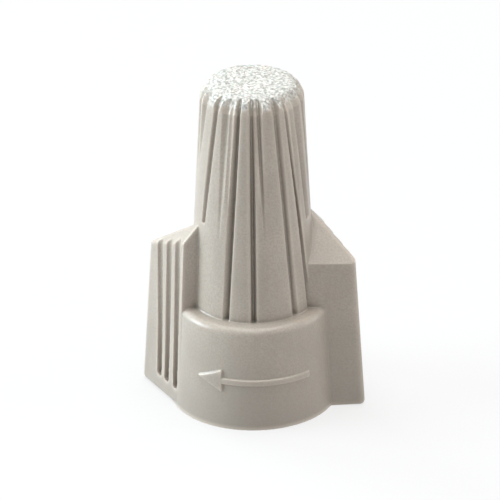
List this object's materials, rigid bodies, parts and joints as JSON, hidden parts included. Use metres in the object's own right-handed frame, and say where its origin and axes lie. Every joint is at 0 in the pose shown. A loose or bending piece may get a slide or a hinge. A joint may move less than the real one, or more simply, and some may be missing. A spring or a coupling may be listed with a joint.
{
  "type": "twist wire connector",
  "caption": "Winged twist-on wire connector: a moulded shell with a fluted closed cap, swept finger wings and a round skirt, and a free conical square-wire spring inside.",
  "frame": {"origin": "on the axis, in the plane of the open mouth that it stands on", "axes": "+Z along the axis to the closed end, +X through the wing on the right, +Y away from the viewer"},
  "size_m": [0.0192, 0.0146, 0.03],
  "materials": {
    "moulded_shell": "satin",
    "spring_wire": "zinc plated"
  },
  "bodies": {
    "shell_body": {"shell": "moulded_shell"},
    "spring_body": {"spring": "spring_wire"}
  },
  "joints": [
    {"name": "spring_float", "type": "slide", "parent": "shell_body", "child": "spring_body", "axis": [0, 0, 1], "range_m": [0, 0.0004]}
  ]
}
